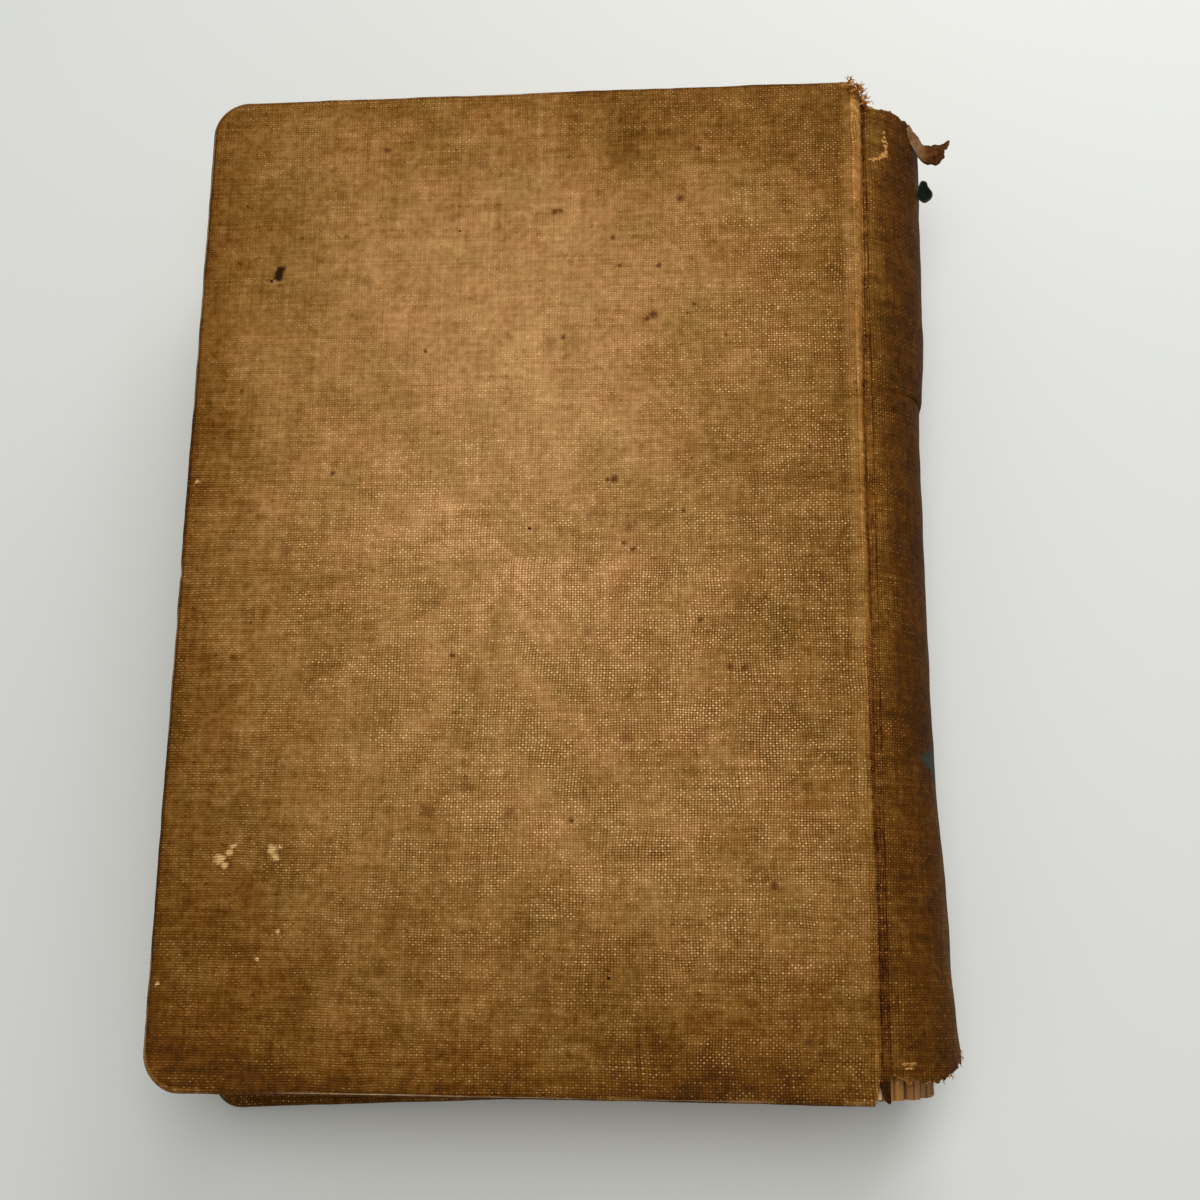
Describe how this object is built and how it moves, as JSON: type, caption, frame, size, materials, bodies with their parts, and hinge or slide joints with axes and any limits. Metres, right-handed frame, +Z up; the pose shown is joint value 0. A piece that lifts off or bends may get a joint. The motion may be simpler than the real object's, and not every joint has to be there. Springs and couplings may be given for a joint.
{
  "type": "hardback book",
  "caption": "Cloth-bound hardback book, octavo, closed and lying on its front cover, with boards that open, a hollow rounded spine torn at head and tail, and a sewn text block.",
  "frame": {"origin": "in the outer face of the front cover, on which the book lies, straight below the middle of the back board", "axes": "+X towards the spine, +Y towards the head of the book, +Z up, out of the back cover"},
  "size_m": [0.1611, 0.2115, 0.046],
  "materials": {
    "book_cloth": "plain-weave tan book cloth, darkened and foxed",
    "spine_cloth": "the same cloth, soiled dark brown with a dull sheen",
    "board": "millboard",
    "pages": "toned uncoated paper",
    "endpaper": "toned uncoated paper",
    "mull": "open starched gauze",
    "lining_paper": "brown kraft paper"
  },
  "bodies": {
    "text_block": {"text_block": "pages", "back_free_endpaper": "endpaper", "front_free_endpaper": "endpaper", "mull": "mull", "spine_lining": "lining_paper", "spine_inlay": "lining_paper", "spine_cloth": "spine_cloth", "back_joint_cloth": "spine_cloth", "front_joint_cloth": "spine_cloth"},
    "back_cover": {"back_board": "board", "back_cover_cloth": "book_cloth", "back_pastedown": "endpaper"},
    "front_cover": {"front_board": "board", "front_cover_cloth": "book_cloth", "front_pastedown": "endpaper"}
  },
  "joints": [
    {"name": "back_cover_hinge", "type": "hinge", "parent": "text_block", "child": "back_cover", "pos_m": [0.0693, 0, 0.0451], "axis": [0, 1, 0], "range_deg": [0, 180], "deforming": ["back_joint_cloth"]},
    {"name": "front_cover_hinge", "type": "hinge", "parent": "text_block", "child": "front_cover", "pos_m": [0.06573, 0.00164, 0.0009], "axis": [0.0454, -0.999, 0], "range_deg": [0, 180], "deforming": ["front_joint_cloth"]}
  ]
}
